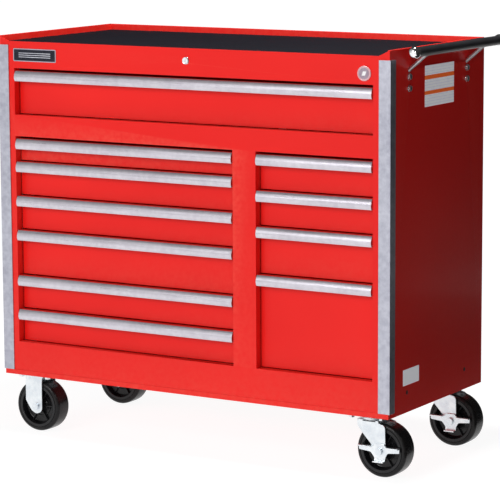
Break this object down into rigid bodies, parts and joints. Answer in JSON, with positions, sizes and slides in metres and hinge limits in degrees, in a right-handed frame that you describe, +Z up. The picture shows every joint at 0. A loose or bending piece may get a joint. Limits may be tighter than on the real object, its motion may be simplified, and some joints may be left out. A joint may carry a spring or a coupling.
{
  "type": "rolling tool chest",
  "caption": "Rolling steel tool chest: a full-width drawer over two drawer columns, aluminium pulls and corner trims, matted top, side push handle, rigid and braked swivel casters.",
  "frame": {"origin": "on the floor, at the centre of the whole chest's footprint", "axes": "+X to the side with the push handle, the drawers face -Y, +Z up"},
  "size_m": [1.14, 0.482, 0.9895],
  "materials": {
    "red_enamel": "gloss powder coat",
    "zinc_steel": "zinc plated",
    "trim_aluminium": "satin anodised",
    "pull_aluminium": "satin anodised",
    "mat_rubber": "fine ribbed",
    "badge_plate": "gloss with a bright rim",
    "badge_steel": "polished",
    "label_film": "satin film",
    "bright_chrome": "polished",
    "handle_black": "satin",
    "caster_zinc": "bright zinc",
    "wheel_rubber": "moulded, satin"
  },
  "bodies": {
    "root": {"side_wall_left": "red_enamel", "side_wall_right": "red_enamel", "back_wall": "red_enamel", "bottom_pan": "red_enamel", "top_deck": "red_enamel", "front_frame": "red_enamel", "centre_partition": "red_enamel", "slide_posts": "zinc_steel", "corner_trim_left": "trim_aluminium", "corner_trim_right": "trim_aluminium", "top_mat": "mat_rubber", "badge_plate": "badge_plate", "round_badge": "badge_steel", "side_labels": "label_film", "lock_housing": "bright_chrome", "slide_rails": "zinc_steel", "handle_arms": "zinc_steel", "handle_tube": "handle_black", "handle_caps": "bright_chrome", "handle_bolts": "bright_chrome", "rigid_forks": "caster_zinc", "rigid_axles": "zinc_steel", "swivel_plates": "caster_zinc", "caster_bolts": "zinc_steel"},
    "drawer_top": {"drawer_top": "red_enamel", "pull_top": "pull_aluminium"},
    "drawer_left_1": {"drawer_left_1": "red_enamel", "pull_left_1": "pull_aluminium"},
    "drawer_left_2": {"drawer_left_2": "red_enamel", "pull_left_2": "pull_aluminium"},
    "drawer_left_3": {"drawer_left_3": "red_enamel", "pull_left_3": "pull_aluminium"},
    "drawer_left_4": {"drawer_left_4": "red_enamel", "pull_left_4": "pull_aluminium"},
    "drawer_left_5": {"drawer_left_5": "red_enamel", "pull_left_5": "pull_aluminium"},
    "drawer_left_6": {"drawer_left_6": "red_enamel", "pull_left_6": "pull_aluminium"},
    "drawer_right_1": {"drawer_right_1": "red_enamel", "pull_right_1": "pull_aluminium"},
    "drawer_right_2": {"drawer_right_2": "red_enamel", "pull_right_2": "pull_aluminium"},
    "drawer_right_3": {"drawer_right_3": "red_enamel", "pull_right_3": "pull_aluminium"},
    "drawer_right_4": {"drawer_right_4": "red_enamel", "pull_right_4": "pull_aluminium"},
    "lock_plug": {"lock_cylinder": "bright_chrome", "lock_rod": "zinc_steel"},
    "lock_frame": {"lock_bar": "zinc_steel"},
    "swivel_front": {"swivel_fork_front": "caster_zinc", "swivel_axle_front": "zinc_steel"},
    "pedal_front": {"brake_pedal_front": "caster_zinc"},
    "wheel_right_front": {"wheel_right_front": "wheel_rubber"},
    "wheel_left_front": {"wheel_left_front": "wheel_rubber"},
    "swivel_rear": {"swivel_fork_rear": "caster_zinc", "swivel_axle_rear": "zinc_steel"},
    "pedal_rear": {"brake_pedal_rear": "caster_zinc"},
    "wheel_right_rear": {"wheel_right_rear": "wheel_rubber"},
    "wheel_left_rear": {"wheel_left_rear": "wheel_rubber"}
  },
  "joints": [
    {"name": "slide_top", "type": "slide", "parent": "root", "child": "drawer_top", "axis": [0, -1, 0], "range_m": [0, 0.3]},
    {"name": "slide_left_1", "type": "slide", "parent": "root", "child": "drawer_left_1", "axis": [0, -1, 0], "range_m": [0, 0.3]},
    {"name": "slide_left_2", "type": "slide", "parent": "root", "child": "drawer_left_2", "axis": [0, -1, 0], "range_m": [0, 0.3]},
    {"name": "slide_left_3", "type": "slide", "parent": "root", "child": "drawer_left_3", "axis": [0, -1, 0], "range_m": [0, 0.3]},
    {"name": "slide_left_4", "type": "slide", "parent": "root", "child": "drawer_left_4", "axis": [0, -1, 0], "range_m": [0, 0.3]},
    {"name": "slide_left_5", "type": "slide", "parent": "root", "child": "drawer_left_5", "axis": [0, -1, 0], "range_m": [0, 0.3]},
    {"name": "slide_left_6", "type": "slide", "parent": "root", "child": "drawer_left_6", "axis": [0, -1, 0], "range_m": [0, 0.3]},
    {"name": "slide_right_1", "type": "slide", "parent": "root", "child": "drawer_right_1", "axis": [0, -1, 0], "range_m": [0, 0.3]},
    {"name": "slide_right_2", "type": "slide", "parent": "root", "child": "drawer_right_2", "axis": [0, -1, 0], "range_m": [0, 0.3]},
    {"name": "slide_right_3", "type": "slide", "parent": "root", "child": "drawer_right_3", "axis": [0, -1, 0], "range_m": [0, 0.3]},
    {"name": "slide_right_4", "type": "slide", "parent": "root", "child": "drawer_right_4", "axis": [0, -1, 0], "range_m": [0, 0.3]},
    {"name": "lock_turn", "type": "hinge", "parent": "root", "child": "lock_plug", "pos_m": [-0.0325, -0.236, 0.937], "axis": [0, 1, 0], "range_deg": [0, 91]},
    {"name": "lock_lift", "type": "slide", "parent": "root", "child": "lock_frame", "axis": [0, 0, 1], "range_m": [0, 0.008]},
    {"name": "swivel_front_turn", "type": "hinge", "parent": "root", "child": "swivel_front", "pos_m": [0.432, -0.178, 0.146], "axis": [0, 0, 1], "continuous": true},
    {"name": "wheel_right_front_spin", "type": "hinge", "parent": "swivel_front", "child": "wheel_right_front", "pos_m": [0.464, -0.178, 0.0635], "axis": [0, 1, 0], "continuous": true},
    {"name": "pedal_front_rock", "type": "hinge", "parent": "swivel_front", "child": "pedal_front", "pos_m": [0.464, -0.178, 0.0635], "axis": [0, 1, 0], "range_deg": [0, 18]},
    {"name": "wheel_left_front_spin", "type": "hinge", "parent": "root", "child": "wheel_left_front", "pos_m": [-0.497, -0.178, 0.0635], "axis": [0, 1, 0], "continuous": true},
    {"name": "swivel_rear_turn", "type": "hinge", "parent": "root", "child": "swivel_rear", "pos_m": [0.432, 0.183, 0.146], "axis": [0, 0, 1], "continuous": true},
    {"name": "wheel_right_rear_spin", "type": "hinge", "parent": "swivel_rear", "child": "wheel_right_rear", "pos_m": [0.464, 0.183, 0.0635], "axis": [0, 1, 0], "continuous": true},
    {"name": "pedal_rear_rock", "type": "hinge", "parent": "swivel_rear", "child": "pedal_rear", "pos_m": [0.464, 0.183, 0.0635], "axis": [0, 1, 0], "range_deg": [0, 18]},
    {"name": "wheel_left_rear_spin", "type": "hinge", "parent": "root", "child": "wheel_left_rear", "pos_m": [-0.497, 0.183, 0.0635], "axis": [0, 1, 0], "continuous": true}
  ],
  "couplings": [
    {"joint": "lock_turn", "follows": "lock_lift", "rad_per_m": 196.35}
  ]
}
